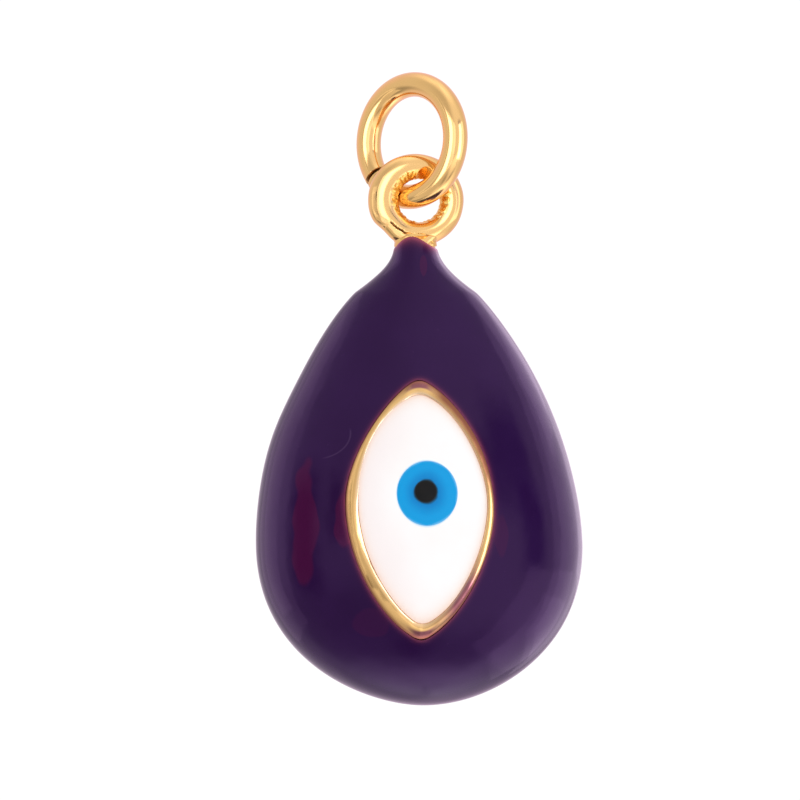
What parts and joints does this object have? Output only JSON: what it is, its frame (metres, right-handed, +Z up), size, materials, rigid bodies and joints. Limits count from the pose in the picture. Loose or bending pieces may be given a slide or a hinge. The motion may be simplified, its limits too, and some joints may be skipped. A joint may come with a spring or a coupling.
{
  "type": "evil eye pendant charm",
  "caption": "Enamelled teardrop charm with a gold-rimmed marquise eye on its front, hanging by its bail loop from a split jump ring.",
  "frame": {"origin": "the point inside the top of the jump ring where a chain, hook or ear wire bears", "axes": "+Z up with the charm hanging down, the eye facing -Y, +X to the right of someone facing the eye"},
  "size_m": [0.0118, 0.0065, 0.023],
  "materials": {
    "gold_plated_brass": "polished gold plating over brass, rough as cast inside the bail loop",
    "jump_ring_wire": "polished gold-plated round wire",
    "solder": "gold-plated hard solder, slightly pitted",
    "purple_enamel": "opaque deep purple enamel, high gloss",
    "white_enamel": "opaque warm white enamel, high gloss",
    "blue_enamel": "opaque sky blue enamel, high gloss",
    "black_enamel": "opaque black enamel, high gloss"
  },
  "bodies": {
    "jump_ring": {"jump_ring": "jump_ring_wire"},
    "pendant": {"front_shell": "gold_plated_brass", "back_shell": "gold_plated_brass", "neck": "gold_plated_brass", "bail_ring": "gold_plated_brass", "eye_rim": "gold_plated_brass", "seam_solder": "solder", "bail_solder": "solder", "enamel_coat": "purple_enamel", "eye_white": "white_enamel", "eye_iris": "blue_enamel", "eye_pupil": "black_enamel"}
  },
  "joints": [
    {"name": "pendant_swing", "type": "hinge", "parent": "jump_ring", "child": "pendant", "pos_m": [-0.00007, -0.00015, -0.00364], "axis": [0, 1, 0], "range_deg": [-30, 30]}
  ]
}
